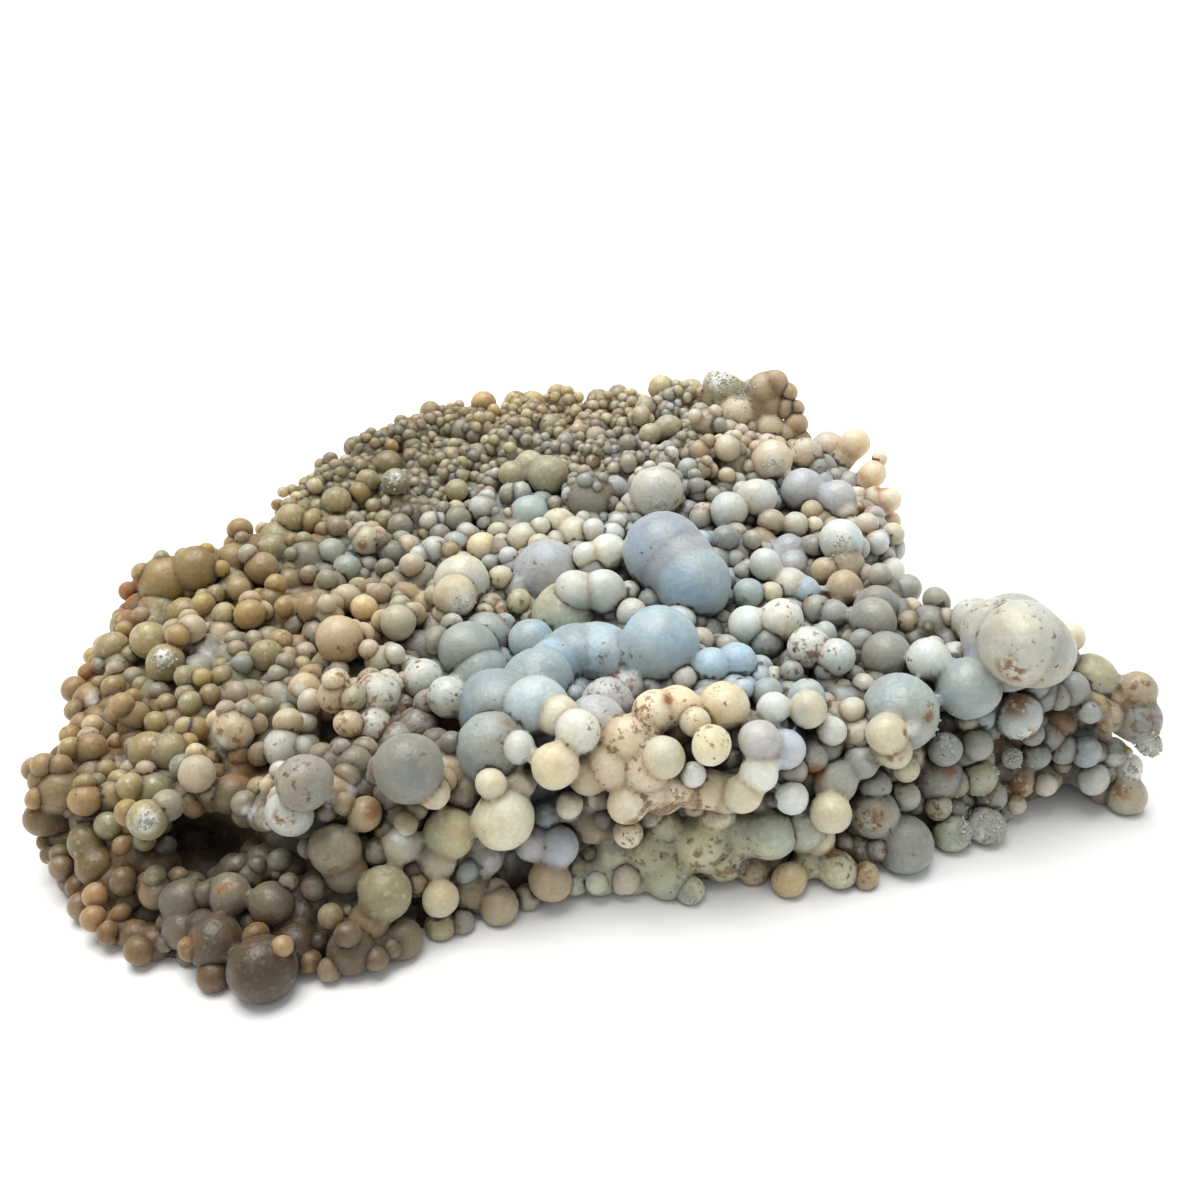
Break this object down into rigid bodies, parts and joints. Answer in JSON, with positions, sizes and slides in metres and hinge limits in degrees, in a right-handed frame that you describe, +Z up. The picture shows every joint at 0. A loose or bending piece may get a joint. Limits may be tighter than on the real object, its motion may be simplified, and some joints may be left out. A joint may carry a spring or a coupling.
{
  "type": "grape agate",
  "caption": "Rough mineral specimen: a plate of round chalcedony lumps grown together like grapes, cut flat underneath to rest on a surface.",
  "frame": {"origin": "centre of the bounding box's footprint, on the flat cut underside", "axes": "+X along the longest way of the plate towards its narrow wing, +Y from the low front wall towards the raised back, +Z up"},
  "size_m": [0.1682, 0.133, 0.0421],
  "materials": {
    "agate": "waxy, satin, slightly translucent"
  },
  "bodies": {
    "root": {"grape_agate": "agate"}
  },
  "joints": []
}
